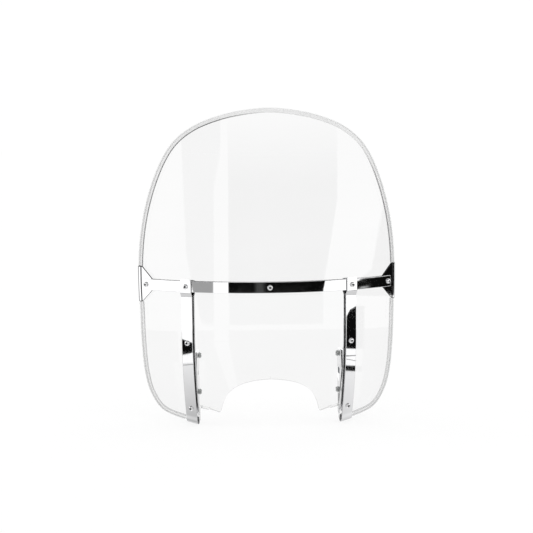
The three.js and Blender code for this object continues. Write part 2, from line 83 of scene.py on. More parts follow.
def onSheet(x, z, offset):
    # a place drawn in the front view, carried back to the sheet: y = R - sqrt(r^2 - x^2)
    x, z, offset = np.broadcast_arrays(x, z, offset)
    y = sheet["roll"] - np.sqrt(rollRadiusAt(z, offset) ** 2 - x**2)
    return np.stack([x, y, z], axis=-1)


def alongSheet(angle, across, along, offset):
    # a place measured on the sheet: r and z go round the sweep by (start - along) / S,
    # then x = r sin(angle + asin(across / r)) and y = R - r cos(the same)
    turn = np.clip(sheet["sweepStart"] - along, 0, None) / sheet["sweep"]
    reach = sheet["sweep"] + offset
    radius = sheet["roll"] - sheet["sweep"] + reach * np.cos(turn)
    z = np.maximum(along, sheet["sweepStart"]) - reach * np.sin(turn)
    turned = angle + np.arcsin(across / radius)
    return np.stack(np.broadcast_arrays(
        radius * np.sin(turned), sheet["roll"] - radius * np.cos(turned), z), axis=-1)


def alongAt(z):
    # arc length of the height z, measured down the sheet: start - S asin((start - z) / S)
    below = np.clip(sheet["sweepStart"] - z, 0, None)
    return np.maximum(z, sheet["sweepStart"]) - sheet["sweep"] * np.arcsin(below / sheet["sweep"])


def seatAt(angle, z, offset):
    # origin and axes of a fastener: across, up and the sheet's outward normal
    along = alongAt(z)
    turn = max(sheet["sweepStart"] - along, 0) / sheet["sweep"]
    outward = np.array([np.sin(angle), -np.cos(angle), 0])
    normal = outward * np.cos(turn) - np.array([0, 0, np.sin(turn)])
    across = np.array([np.cos(angle), np.sin(angle), 0])
    return alongSheet(angle, 0.0, along, offset), np.stack([across, np.cross(normal, across), normal])


# ---- meshes from grids


def gridOf(points, ring=False, loop=False, caps=False, marks=None):
    # rows run along the piece and columns round its section; ring joins the last column to
    # the first, loop the last row to the first, and caps fills the first and last sections
    rows, columns = points.shape[:2]
    index = np.arange(rows * columns).reshape(rows, columns)
    if ring:
        index = np.concatenate([index, index[:, :1]], axis=1)
    if loop:
        index = np.concatenate([index, index[:1]], axis=0)
    quads = np.stack([index[:-1, :-1], index[:-1, 1:], index[1:, 1:], index[1:, :-1]], axis=-1)
    faces = quads.reshape(-1, 4).tolist()
    if caps:
        faces += [index[0, :columns][::-1].tolist(), index[-1, :columns].tolist()]
    shown = {key: np.broadcast_to(value, (rows, columns)).ravel()
             for key, value in (marks or {}).items()}
    return {"points": points.reshape(-1, 3), "faces": faces, "marks": shown}


def addObject(name, mesh, material):
    made = bpy.data.objects.new(name, mesh)
    bpy.context.scene.collection.objects.link(made)
    mesh.materials.append(material)
    return made


def buildPiece(name, grids, body, nodes, material, sharp=32, front=None):
    # one mesh from its grids: doubles merged, faces turned outward, smooth up to the sharp angle
    starts = np.cumsum([0] + [len(grid["points"]) for grid in grids[:-1]])
    points = np.concatenate([grid["points"] for grid in grids])
    faces = [[corner + int(start) for corner in face]
             for grid, start in zip(grids, starts) for face in grid["faces"]]
    mesh = bpy.data.meshes.new(name)
    mesh.from_pydata(((points + frameShift) / 1000).tolist(), [], faces)
    for key in grids[0]["marks"]:
        values = np.concatenate([grid["marks"][key] for grid in grids]).astype(np.float32)
        mesh.attributes.new(key, "FLOAT", "POINT").data.foreach_set("value", values)
    work = bmesh.new()
    work.from_mesh(mesh)
    bmesh.ops.remove_doubles(work, verts=work.verts, dist=2e-6)
    bmesh.ops.recalc_face_normals(work, faces=work.faces)
    if front is not None:  # an open skin has no inside, so it is turned to face this way
        facing = sum(face.normal.dot(front) * face.calc_area() for face in work.faces)
        if facing < 0:
            bmesh.ops.reverse_faces(work, faces=work.faces)
    work.to_mesh(mesh)
    work.free()
    mesh.shade_smooth()
    mesh.set_sharp_from_angle(angle=np.radians(sharp))
    piece = addObject(name, mesh, material)
    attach(piece, body)
    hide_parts(*nodes)
    return piece


def roundedBar(width, thickness, radius, arcSteps=4):
    # a rectangle with rounded corners: each corner is a quarter circle, each long side has
    # extra points close to its ends, so that its middle stays flat when it is smoothed
    corner = np.linspace(0, np.pi / 2, arcSteps + 1)
    halfWidth, halfThickness = width / 2 - radius, thickness / 2 - radius
    side = np.array([0.97, 0.8, 0.5, 0.0, -0.5, -0.8, -0.97]) * halfWidth
    parts = []
    for turn, (signX, signY) in enumerate(((1, 1), (-1, 1), (-1, -1), (1, -1))):
        angle = corner + turn * np.pi / 2
        parts.append(np.stack([signX * halfWidth + radius * np.cos(angle),
                               signY * halfThickness + radius * np.sin(angle)], axis=-1))
        if turn in (0, 2):
            flat = side if turn == 0 else -side
            parts.append(np.stack([flat, np.full_like(flat, signY * thickness / 2)], axis=-1))
    outline = np.concatenate(parts)
    return outline[:, 0], outline[:, 1]


def ribbonSection(path, half, arcSteps=5):
    # the outline of a bent wall: its middle line moved out by half the wall on each side,
    # with a half circle round each end
    tangent = np.gradient(path, axis=-2)
    tangent /= np.linalg.norm(tangent, axis=-1, keepdims=True)
    normal = np.stack([-tangent[..., 1], tangent[..., 0]], axis=-1)
    turn = np.linspace(0, np.pi, arcSteps + 2)[1:-1]

    def endArc(at, way):
        out, side = way * tangent[..., at, :], way * normal[..., at, :]
        return path[..., at, None, :] + half * (
            np.cos(turn)[:, None] * side[..., None, :] + np.sin(turn)[:, None] * out[..., None, :])

    left, right = path + half * normal, path - half * normal
    return np.concatenate([left, endArc(-1, 1), right[..., ::-1, :], endArc(0, -1)], axis=-2)


def smoothStep(value):
    clipped = np.clip(value, 0, 1)
    return clipped * clipped * (3 - 2 * clipped)


# ---- nodes and colours


def linear(hexColour):
    # an sRGB hex colour as linear red, green, blue and alpha
    srgb = np.array([int(hexColour[i:i + 2], 16) for i in (1, 3, 5)]) / 255
    value = np.where(srgb <= 0.04045, srgb / 12.92, ((srgb + 0.055) / 1.055) ** 2.4)
    return (*value.tolist(), 1.0)


def addNode(tree, kind, values=None):
    # adds a node; a lower-case name is a setting of the node, any other name or number is a
    # socket, which takes a value or a link from another node's socket
    made = tree.nodes.new(kind)
    sockets = {}
    for key, value in (values or {}).items():
        if isinstance(key, str) and key[0].islower():
            setattr(made, key, value)
        else:
            sockets[key] = value
    for key, value in sockets.items():
        if isinstance(value, bpy.types.NodeSocket):
            tree.links.new(value, made.inputs[key])
        else:
            made.inputs[key].default_value = value
    return made


def newMaterial(name):
    material = bpy.data.materials.new(name)
    material.use_nodes = True
    material.node_tree.nodes.clear()
    return material, material.node_tree


def objectPlace(tree):
    return addNode(tree, "ShaderNodeTexCoord").outputs["Object"]


def ownMeasure(tree, name):
    # a piece's own measure, stored at each of its points
    return addNode(tree, "ShaderNodeAttribute", {"attribute_name": name}).outputs["Fac"]


def noiseAt(tree, place, scale, detail, **more):
    values = {"Scale": scale, "Detail": detail, "Vector": place, **more}
    return addNode(tree, "ShaderNodeTexNoise", values).outputs[0]


def toneMix(tree, factor, first, second):
    values = {"data_type": "RGBA", 0: factor, 6: linear(first), 7: linear(second)}
    return addNode(tree, "ShaderNodeMix", values).outputs[2]


def ranged(tree, value, low, high, span=(0.3, 0.7), kind="LINEAR"):
    # carries the value from low to high over the span; noise stays mostly within the usual one
    values = {"interpolation_type": kind, 0: value, 1: span[0], 2: span[1], 3: low, 4: high}
    return addNode(tree, "ShaderNodeMapRange", values).outputs[0]


def maths(tree, operation, *values):
    inputs = {"operation": operation, **dict(enumerate(values))}
    return addNode(tree, "ShaderNodeMath", inputs).outputs[0]


def bumped(tree, height, strength, distance):
    values = {"Strength": strength, "Distance": distance, "Height": height}
    return addNode(tree, "ShaderNodeBump", values).outputs[0]


def principled(tree, values):
    return addNode(tree, "ShaderNodeBsdfPrincipled", values).outputs[0]


def shaderMix(tree, factor, first, second):
    return addNode(tree, "ShaderNodeMixShader", {0: factor, 1: first, 2: second}).outputs[0]


def surfaceOf(material, tree, shader):
    addNode(tree, "ShaderNodeOutputMaterial", {"Surface": shader})
    return material


def metalFinish(name, look):
    # object coordinates drive three things: patches of haze in the colour and the gloss,
    # and a long shallow wave left by the press and the polishing wheel; a piece's own measure
    # mixes in the dark tone as painted shade along folds, sheared edges and in sockets
    material, tree = newMaterial(name)
    place = objectPlace(tree)
    haze = noiseAt(tree, place, 1000 / look["hazeSize"], 4.0, Roughness=0.6)
    grain = noiseAt(tree, place, 1000 / look["grainSize"], 2.0, Roughness=0.5)
    wave = noiseAt(tree, place, 1000 / look["waveSize"], 1.0, Roughness=0.4)
    stretched = addNode(tree, "ShaderNodeMapping", {"Scale": look["stretch"], "Vector": place})
    lines = noiseAt(tree, stretched.outputs[0], 1.0, 2.0)
    # haze colour, with the dark tone laid on as painted shade where the piece's own measure is 1
    hazeAndShade = addNode(tree, "ShaderNodeMix", {
        "data_type": "RGBA", 0: ownMeasure(tree, "paintedShade"),
        6: toneMix(tree, haze, look["clean"], look["hazed"]), 7: linear(look["shadeTone"])})
    ground = maths(tree, "MULTIPLY_ADD", lines, look["lineShare"], wave)
    height = maths(tree, "MULTIPLY_ADD", grain, look["grainShare"], ground)
    return surfaceOf(material, tree, principled(tree, {
        "Metallic": 1.0, "Base Color": hazeAndShade.outputs[2],
        "Roughness": ranged(tree, haze, *look["gloss"]),
        "Normal": bumped(tree, height, 1.0, look["waveHeight"] / 1000)}))


# Bright nickel and chromium plating on pressed steel, buffed to a mirror: sharp black and
# white reflections that bend a little where the strip was pressed, and a faint haze
# its dark tone is painted shade, laid on folds, sheared edges and sockets
chromeLook = {
    "clean": "#EEEEEF", "hazed": "#E2E2E3", "shadeTone": "#2E2E30", "gloss": (0.012, 0.045),
    "hazeSize": 35.0, "grainSize": 1.5, "grainShare": 0.02, "waveSize": 45.0,
    "waveHeight": 0.05, "lineShare": 0.05}
# the strip's rolling lines lie across the shield on the straps and run up it on the braces
chromePlate = metalFinish("chromePlatedStripAcross", {**chromeLook, "stretch": (14.0, 14.0, 480.0)})
chromeUpright = metalFinish("chromePlatedStripUpright", {**chromeLook, "stretch": (420.0, 420.0, 12.0)})

# Zinc plated nuts, passivated: a greyer, duller metal with a fine crystalline grain
zincPlate = metalFinish("zincPlatedSteelPassivated", {
    "clean": "#C3C7CA", "hazed": "#A4A69F", "shadeTone": "#5A5B5C", "gloss": (0.24, 0.42), "hazeSize": 4.0,
    "grainSize": 0.6, "grainShare": 0.5, "waveSize": 6.0, "waveHeight": 0.02,
    "lineShare": 0.1, "stretch": (300.0, 300.0, 300.0)})


def springWire():
    # Hard-drawn spring steel: a dark grey metal with drawing lines along the wire. The lines
    # are noise stretched along it by the piece's own measures of length and turn round it.
    material, tree = newMaterial("springSteelWireDrawn")
    lines = addNode(tree, "ShaderNodeCombineXYZ", {
        0: ownMeasure(tree, "runAlong"), 1: ownMeasure(tree, "turnRound")})
    spread = addNode(tree, "ShaderNodeMapping", {"Scale": (0.05, 9.0, 1.0), "Vector": lines.outputs[0]})
    drawn = noiseAt(tree, spread.outputs[0], 1.0, 3.0)
    return surfaceOf(material, tree, principled(tree, {
        "Metallic": 1.0, "Base Color": toneMix(tree, drawn, "#8D9195", "#6A6D71"),
        "Roughness": ranged(tree, drawn, 0.2, 0.36), "Normal": bumped(tree, drawn, 0.6, 0.00003)}))


def rubberStrip():
    # Black EPDM strip cut from extruded sheet: near black, matt, with a fine talc bloom
    material, tree = newMaterial("epdmRubberExtruded")
    place = objectPlace(tree)
    bloom = noiseAt(tree, place, 90.0, 5.0)
    pores = noiseAt(tree, place, 1400.0, 2.0)
    return surfaceOf(material, tree, principled(tree, {
        "IOR": 1.5, "Base Color": toneMix(tree, bloom, "#141415", "#2A2A2B"),
        "Roughness": ranged(tree, bloom, 0.55, 0.75), "Normal": bumped(tree, pores, 0.5, 0.0001)}))


def clearSheet():
    # Hard-coated polycarbonate sheet, IOR 1.585, bent hot over a form: it mirrors 3% face on
    # and more at a slant, lets the rest through with a trace of grey, and is slightly wavy
    material, tree = newMaterial("polycarbonateSheetHardCoated")
    look = {"faceOn": 0.034, "clear": "#FDFDFD", "smoky": "#FBFBFB", "gloss": (0.012, 0.03),
            "waveSize": 160.0, "waveHeight": 0.25}
    place = objectPlace(tree)
    drift = noiseAt(tree, place, 6.0, 2.0)
    wave = noiseAt(tree, place, 1000 / look["waveSize"], 0.5)
    slant = addNode(tree, "ShaderNodeLayerWeight", {"Blend": 0.5}).outputs["Facing"]
    rise = maths(tree, "POWER", slant, 5.0)
    mirror = maths(tree, "MULTIPLY_ADD", rise, 1 - look["faceOn"], look["faceOn"])
    through = addNode(tree, "ShaderNodeBsdfTransparent", {
        "Color": toneMix(tree, drift, look["clear"], look["smoky"])})
    shine = addNode(tree, "ShaderNodeBsdfAnisotropic", {
        "Roughness": ranged(tree, drift, *look["gloss"]),
        "Normal": bumped(tree, wave, 1.0, look["waveHeight"] / 1000)})
    return surfaceOf(material, tree, shaderMix(tree, mirror, through.outputs[0], shine.outputs[0]))


def sawnEdge():
    # The sheet's routed and flame-polished rim: the same plastic seen through its depth, so
    # it reads as a pale grey line with fine cutter marks across it
    material, tree = newMaterial("polycarbonateRimFlamePolished")
    marks = noiseAt(tree, objectPlace(tree), 500.0, 2.0)
    colour = toneMix(tree, marks, "#EDEDED", "#DADADA")
    solid = principled(tree, {
        "IOR": 1.585, "Base Color": colour, "Roughness": ranged(tree, marks, 0.12, 0.3)})
    through = addNode(tree, "ShaderNodeBsdfTransparent", {"Color": colour})
    return surfaceOf(material, tree, shaderMix(tree, 0.2, through.outputs[0], solid))


# the lip values set the painted shade along the trim's lips: where it lies, how strong it is, and how it fades
# at the crown and low down
vinyl = {"lip": (7.4, 8.6), "wrap": (0.4, 3.0), "wrapDensity": (0.11, 0.04),  # mm in from the edge
         "crown": (0.085, 0.0, 0.485), "crownSpan": (0.10, 0.20), "crownLipShade": 0.12,  # metres
         "lowSpan": (0.05, 0.16), "lowLip": 0.5, "lipShadeShare": 0.3, "unevenness": 0.03}


def vinylTrim():
    # Clear extruded PVC channel: milky where it wraps round the sheet's edge, clear over its
    # walls, and painted shade along its lips, standing in for the cut wall turning the light away. Its own
    # measure of how far in from the edge a point lies drives the change. The painted lip shade is fainter
    # beside the crown and low down.
    material, tree = newMaterial("clearVinylChannelExtruded")
    place = objectPlace(tree)
    inset = ownMeasure(tree, "inset")
    lip = ranged(tree, inset, 0.0, 1.0, vinyl["lip"], "SMOOTHSTEP")
    wrap = ranged(tree, inset, *vinyl["wrapDensity"], vinyl["wrap"], "SMOOTHSTEP")
    drift = noiseAt(tree, place, 60.0, 3.0)
    crown = addNode(tree, "ShaderNodeVectorMath", {"operation": "DISTANCE", 0: place, 1: vinyl["crown"]})
    crownFade = ranged(
        tree, crown.outputs["Value"], vinyl["crownLipShade"], 1.0, vinyl["crownSpan"], "SMOOTHSTEP")
    level = addNode(tree, "ShaderNodeSeparateXYZ", {0: place}).outputs[2]
    lowFade = ranged(tree, level, vinyl["lowLip"], 1.0, vinyl["lowSpan"], "SMOOTHSTEP")
    dark = maths(tree, "MULTIPLY", lip, maths(tree, "MULTIPLY", lowFade, crownFade))
    dense = maths(tree, "MULTIPLY_ADD", dark, vinyl["lipShadeShare"], wrap)
    uneven = maths(tree, "MULTIPLY_ADD", drift, vinyl["unevenness"], dense)
    # the dark tone is the painted shade along the lips
    solid = principled(tree, {
        "IOR": 1.53, "Base Color": toneMix(tree, dark, "#E4E4E4", "#4A4A4B"),
        "Roughness": ranged(tree, drift, 0.2, 0.35)})
    through = addNode(tree, "ShaderNodeBsdfTransparent", {"Color": linear("#FBFBFB")})
    return surfaceOf(material, tree, shaderMix(tree, uneven, through.outputs[0], solid))


springSteel = springWire()
blackRubber = rubberStrip()
polycarbonate = clearSheet()
polycarbonateRim = sawnEdge()
clearVinyl = vinylTrim()
print("materials made")

# ---- the shield's outline in the front view

edgeKnots = np.array([
    (-60, 345.5), (0, 351.5), (60, 345.5), (107, 334), (150, 316), (187, 287.5), (214, 247),
    (237, 190), (253, 127), (261.2, 62), (262.3, 0), (260.3, -60), (258.3, -120), (253, -180),
    (241, -225), (216, -258.5), (171, -273.8), (135, -281)])


def edgeAt(t, inset=0.0):
    # a Catmull-Rom curve through the knots from the crown (t = 0) to the hook (t = 1), moved
    # inward by the inset: place + inset * (tangent turned a quarter clockwise)
    last = len(edgeKnots) - 1
    where = 1 + np.asarray(t) * (last - 2)
    first = np.clip(where.astype(int), 1, last - 2)
    w = (where - first)[..., None]
    before, start, end, after = (edgeKnots[first + step] for step in (-1, 0, 1, 2))
    slopeStart, slopeEnd = (end - before) / 2, (after - start) / 2
    cubic = 2 * start - 2 * end + slopeStart + slopeEnd
    square = -3 * start + 3 * end - 2 * slopeStart - slopeEnd
    place = ((cubic * w + square) * w + slopeStart) * w + start
    tangent = (3 * cubic * w + 2 * square) * w + slopeStart
    tangent /= np.linalg.norm(tangent, axis=-1, keepdims=True)
    inward = np.stack([tangent[..., 1], -tangent[..., 0]], axis=-1)
    return place + np.asarray(inset)[..., None] * inward, inward


fineT = np.linspace(0, 1, 2000)
fineEdge = edgeAt(fineT)[0]


def edgeTAt(z):
    return np.interp(-z, -fineEdge[:, 1], fineT)


def bezier(points, steps):
    # a quadratic or cubic curve by repeated linear blends of its control points
    t = np.linspace(0, 1, steps)[:, None, None]
    blend = np.broadcast_to(np.array(points, float), (steps, len(points), 2))
    while blend.shape[1] > 1:
        blend = blend[:, :-1] * (1 - t) + blend[:, 1:] * t
    return blend[:, 0]


# ---- the clear panel

panel = {"edgeInset": 1.8, "rows": 210, "columns": 64, "rimRound": 0.0006}
outerLine = np.concatenate([
    edgeAt(np.linspace(0, 1, 900), panel["edgeInset"])[0], [(146.5, -276.9)]])
outerLine[0, 0] = 0.0
innerLine = np.concatenate([
    np.stack([np.zeros(300), np.linspace(outerLine[0, 1], -184, 300)], axis=-1),
    bezier([(0, -184), (74, -186), (92, -214), (98.5, -250)], 120),  # headlamp arch
    bezier([(98.5, -250), (99.5, -254.5), (103, -253.5)], 16),
    bezier([(103, -253.5), (118, -248), (136.5, -245)], 40),  # ledge under the lobe
    bezier([(136.5, -245), (141.5, -245), (141.5, -250)], 16),
    bezier([(141.5, -250), (141.5, -272.7)], 24),  # step behind the side plate
    bezier([(141.5, -272.7), (141.5, -277.7), (146.5, -276.9)], 16)])


def lengthsAlong(line):
    return np.concatenate([[0], np.cumsum(np.linalg.norm(np.diff(line, axis=0), axis=1))])


def pointAlong(line, lengths, distance):
    return np.stack([np.interp(distance, lengths, line[:, i]) for i in (0, 1)], axis=-1)


def clearPanel():
    # ruled surface in the front view: inner(v) + u * (outer(v) - inner(v)), where inner runs
    # down the middle and round the arch, outer down the edge, and paired places keep the
    # rulings apart; then every point is carried back onto the bent sheet
    pairs = np.array([
        (0, 349.7, 0, 349.7), (0, 300, 174, 298), (0, 200, 232, 200), (0, 60, 259.5, 60),
        (0, -60, 258.5, -50), (0, -184, 257, -110), (50, -191, 254, -135), (80, -212, 252, -160),
        (98.5, -250, 248, -190), (103, -253.5, 246, -198), (118.9, -248.6, 240.5, -219),
        (136.5, -245, 230, -236), (141.5, -250, 212, -257), (141.5, -272.7, 172, -271.5),
        (146.5, -276.9, 146.5, -276.9)])
    lengths = [lengthsAlong(innerLine), lengthsAlong(outerLine)]
    inner, outer = (
        length[np.argmin(np.linalg.norm(line[None] - places[:, None], axis=-1), axis=1)]
        for line, length, places in zip((innerLine, outerLine), lengths, (pairs[:, :2], pairs[:, 2:])))
    share = (inner + outer) / 2
    v = np.linspace(0, share[-1], panel["rows"])
    start = pointAlong(innerLine, lengths[0], np.interp(v, share, inner))
    to = pointAlong(outerLine, lengths[1], np.interp(v, share, outer))
    u = np.linspace(0, 1, panel["columns"])[None, :, None]
    flat = start[:, None] * (1 - u) + to[:, None] * u
    halves = [onSheet(sign * flat[..., 0], flat[..., 1], 0.0) for _, sign in sides]
    piece = buildPiece("clearPanel", [gridOf(half) for half in halves], "shield",
                       ["windshield_panel"], polycarbonate, front=(0, -1, 0))
    piece.data.materials.append(polycarbonateRim)
    wall = piece.modifiers.new("wall", "SOLIDIFY")
    wall.thickness = sheet["thickness"] / 1000
    wall.offset = -1
    wall.material_offset_rim = 1
    rim = piece.modifiers.new("rim", "BEVEL")
    rim.width = panel["rimRound"]
    rim.segments = 2
    rim.limit_method = "ANGLE"
    rim.angle_limit = np.radians(60)
    return piece


clearPanel()
print("panel made")

# ---- clear edge trim and end clips: a channel section carried along the panel's edge


def channelPath(legIn, edge, front, rear, bend, steps=7, legSteps=10):
    # middle line of a U: in from the rear lip, round two bends of the given radius, out to
    # the front lip; legIn may differ from row to row
    legIn = np.asarray(legIn, float)[..., None]
    leg = 0.5 - 0.5 * np.cos(np.pi * np.linspace(0, 1, legSteps))
    arc = np.linspace(0, np.pi / 2, steps)
    rearLeg = legIn + (edge + bend - legIn) * leg[:-1]
    shape = legIn.shape[:-1]
    rearArc = np.broadcast_to(edge + bend - bend * np.sin(arc), shape + arc.shape)
    frontArc = np.broadcast_to(edge + bend - bend * np.cos(arc), shape + arc.shape)
    frontLeg = legIn + (edge + bend - legIn) * leg[:-1][::-1]
    inset = np.concatenate([rearLeg, rearArc, frontArc, frontLeg], axis=-1)
    offset = np.concatenate([
        np.full(legSteps - 1, rear), rear + bend - bend * np.cos(arc),
        front - bend + bend * np.sin(arc), np.full(legSteps - 1, front)])
    return np.stack([inset, np.broadcast_to(offset, inset.shape)], axis=-1)


def hemmed(path, start, width, rise):
    # lifts the front leg near the edge: offset + rise * smoothStep((start - inset) / width)
    front = path[..., 1] > -sheet["thickness"] / 2
    lift = rise * smoothStep((start - path[..., 0]) / width)
    depth = path[..., 1] + sheet["thickness"] / 2
    return np.stack([path[..., 0], path[..., 1] + lift * front * depth / clip["legDepth"]], axis=-1)


trim = {"wall": 1.5, "reach": 10.0, "bend": 1.9, "stop": 36.6, "hookEdge": 171.0}
clip = {"wall": 1.5, "overhang": 0.4, "half": 36.0, "inner": 233.1, "slope": 21.0, "neck": 11.6,
        "bend": 1.6, "hem": 6.4, "hemWidth": 1.6, "hemRise": 1.1,
        "legDepth": 3.3}  # legDepth: from the sheet's middle to the middle of the front leg


def trimPiece(name, node, places, inward):
    # place + inset * inward in the front view, at the section's offset from the sheet
    half = trim["wall"] / 2
    path = channelPath(
        trim["reach"] - half, half, gap + half, -sheet["thickness"] - gap - half, trim["bend"])
    section = ribbonSection(path, half)
    inset, offset = section[:, 0], section[:, 1]
    flat = places[:, None] + inset[None, :, None] * inward[:, None]
    points = onSheet(flat[..., 0], flat[..., 1], offset[None])
    buildPiece(name, [gridOf(points, ring=True, caps=True, marks={"inset": inset[None]})],
               "shield", [node], clearVinyl, sharp=60)


mirrorX = np.array([-1.0, 1.0])
places, inward = edgeAt(np.linspace(0, edgeTAt(trim["stop"]), 130))
places[0, 0] = 0.0
trimPiece("crownTrim", "upper_edge_trim",
          np.concatenate([(places * mirrorX)[:0:-1], places]),
          np.concatenate([(inward * mirrorX)[:0:-1], inward]))
hookT = fineT[np.argmax((fineEdge[:, 1] < -200) & (fineEdge[:, 0] < trim["hookEdge"] + 0.5))]
places, inward = edgeAt(np.linspace(edgeTAt(-trim["stop"]), hookT, 90))
for side, sign in sides:
    flip = np.array([float(sign), 1.0])
    trimPiece(f"{side}SideTrim", f"{side}_lower_edge_trim", places * flip, inward * flip)


def endClip(side, sign):
    # the channel again, with legs that reach in to x = inner + slope * (|z| - neck) / (half - neck)
    nearEnd = clip["half"] - np.array([0.0, 0.1, 0.3, 0.6, 0.9, 1.2])
    z = np.concatenate([-nearEnd, np.linspace(-34.4, 34.4, 70), nearEnd[::-1]])
    edgeX = np.interp(-z, -fineEdge[:, 1], fineEdge[:, 0])
    inner = clip["inner"] + clip["slope"] * np.clip(
        (np.abs(z) - clip["neck"]) / (clip["half"] - clip["neck"]), 0, 1)
    half = clip["wall"] / 2
    path = channelPath(edgeX - inner - half, -clip["overhang"] + half, gap + half,
                       -sheet["thickness"] - gap - half, clip["bend"], legSteps=64)
    path = hemmed(path, clip["hem"], clip["hemWidth"], clip["hemRise"])
    ends = np.sqrt(np.clip(1 - np.clip((np.abs(z) - clip["half"] + 0.5) / 0.5, 0, 1) ** 2, 0.12, 1))
    section = ribbonSection(path, half * ends[:, None, None])
    points = onSheet(sign * (edgeX[:, None] - section[..., 0]), z[:, None], section[..., 1])
    # painted shade along the sheared edges, down the hem's fold and round the outer bend
    fromLip = (edgeX - inner)[:, None] - section[..., 0]
    fromEnd = (clip["half"] - np.abs(z))[:, None]
    fromFold = np.abs(section[..., 0] - clip["hem"] + 0.5)
    sheared = smoothStep((1.6 - np.minimum(fromLip, fromEnd)) / 0.5)
    folded = 0.95 * smoothStep((1.5 - fromFold) / 0.4)
    bent = 0.7 * smoothStep((1.1 - section[..., 0]) / 0.5)
    paintedShade = np.maximum(np.maximum(sheared, folded), bent)
    buildPiece(f"{side}EdgeClip", [gridOf(points, ring=True, caps=True, marks={"paintedShade": paintedShade})],
               "shield", [f"{side}_end_clip"], chromePlate, sharp=40)


for side, sign in sides:
    endClip(side, sign)
print("trim and clips made")

# ---- horizontal straps and gaskets

strap = {"height": 22.0, "wall": 2.0, "reach": 252.0, "rearReach": 248.0, "corner": 2.0, "round": 0.45}
gasket = {"height": 20.4, "wall": 1.5, "reach": 232.5, "corner": 2.0, "round": 0.3}


def strapPiece(name, node, look, reach, inner, material):
    # a rounded bar carried round the roll; near each end its half height shrinks as
    # half - c + sqrt(c^2 - d^2) over the corner radius c, and its wall closes the same way
    up, out = roundedBar(look["height"], look["wall"], look["round"])
    tail = reach - look["corner"]
    x = np.concatenate([
        -tail - look["corner"] * np.sin(np.linspace(np.pi / 2, 0, 12)),
        np.linspace(-tail, tail, 181)[1:-1],
        tail + look["corner"] * np.sin(np.linspace(0, np.pi / 2, 12))])
    past = np.clip(np.abs(x) - tail, 0, look["corner"])
    corner = look["corner"] - np.sqrt(look["corner"] ** 2 - past**2)
    nearEnd = np.clip(np.abs(x) - reach + look["round"], 0, look["round"])
    edge = look["round"] - np.sqrt(look["round"] ** 2 - nearEnd**2)
    z = np.sign(up) * np.maximum(np.abs(up)[None] - corner[:, None], 0.0)
    wall = np.sign(out) * np.maximum(np.abs(out)[None] - edge[:, None], 0.02)
    points = onSheet(x[:, None], z, inner + look["wall"] / 2 + wall)
    buildPiece(name, [gridOf(points, ring=True, caps=True)], "shield", [node], material, sharp=40)


strapPiece("frontStrap", "front_strap", strap, strap["reach"], layers["strap"], chromePlate)
strapPiece("rearStrap", "rear_strap", strap, strap["rearReach"], layers["rearStrap"],
           chromePlate)
strapPiece("frontGasket", "front_strap_gasket", gasket, gasket["reach"], gap,
           blackRubber)
strapPiece("rearGasket", "rear_strap_gasket", gasket, gasket["reach"],
           -sheet["thickness"] - gap - gasket["wall"], blackRubber)
print("straps made")

# ---- front braces and side brackets: bars carried down the sheet, stepping over the straps

braceAngle = np.arcsin(163.5 / sheet["roll"])
joggle = {"top": -12.0, "length": 9.0}
brace = {"width": 24.0, "wall": 2.0, "top": 14.5, "corner": 2.0, "hookWall": 2.2, "hookAt": -275.2,
         "hookGap": 0.7, "hookDepth": 0.985, "hookSteps": 22, "lip": 9.0, "lipSteps": 8,
         "slant": np.radians(11), "round": 0.45}
bracket = {"width": 25.0, "wall": 2.2, "top": 12.5, "bottom": -258.0, "lap": 1.0, "corner": 2.0,
           "round": 0.45}
masterBar = {"width": 20.0, "wall": 2.0, "flat": 9.9}  # stretched to each bar's own size


def barGrid(angle, along, offset, width, wall, edgeRound, lean):
    # a rounded bar carried along a line in the (along, offset) plane: place + n * out, where n
    # is the line's normal; lean slides it along the sheet in step with the distance across
    tangent = np.stack([np.gradient(along), np.gradient(offset)], axis=-1)
    tangent /= np.linalg.norm(tangent, axis=-1, keepdims=True)
    flatAcross, flatOut = roundedBar(masterBar["width"], masterBar["wall"], edgeRound)
    grow = (width - masterBar["width"]) / 2
    across = np.where(  # the flat side is scaled, and its rounded ends are only moved
        np.abs(flatAcross)[None] <= masterBar["flat"],
        flatAcross[None] * (width[:, None] / masterBar["width"]),
        flatAcross[None] + np.sign(flatAcross)[None] * grow[:, None])
    out = flatOut[None] * (wall[:, None] / masterBar["wall"])
    alongAll = along[:, None] + tangent[:, 1:] * out + lean[:, None] * across
    offsetAll = offset[:, None] - tangent[:, :1] * out
    return gridOf(alongSheet(angle, across, alongAll, offsetAll), ring=True, caps=True)


def narrowing(fromTop, radius):
    # how much a bar narrows within its top corners' radius: 2 (c - sqrt(c^2 - d^2))
    past = np.clip(radius - fromTop, 0, radius)
    return 2 * (radius - np.sqrt(radius**2 - past**2))


def downTo(top, end):
    # the first stretch of a bar's line: its top, and the step over the strap, drawn finely
    return np.concatenate([
        np.linspace(top, top - 2, 8), np.linspace(top - 2.5, joggle["top"] + 2, 12),
        np.linspace(joggle["top"] + 1.5, joggle["top"] - joggle["length"] - 1.5, 26),
        np.linspace(joggle["top"] - joggle["length"] - 3, end, 90)])


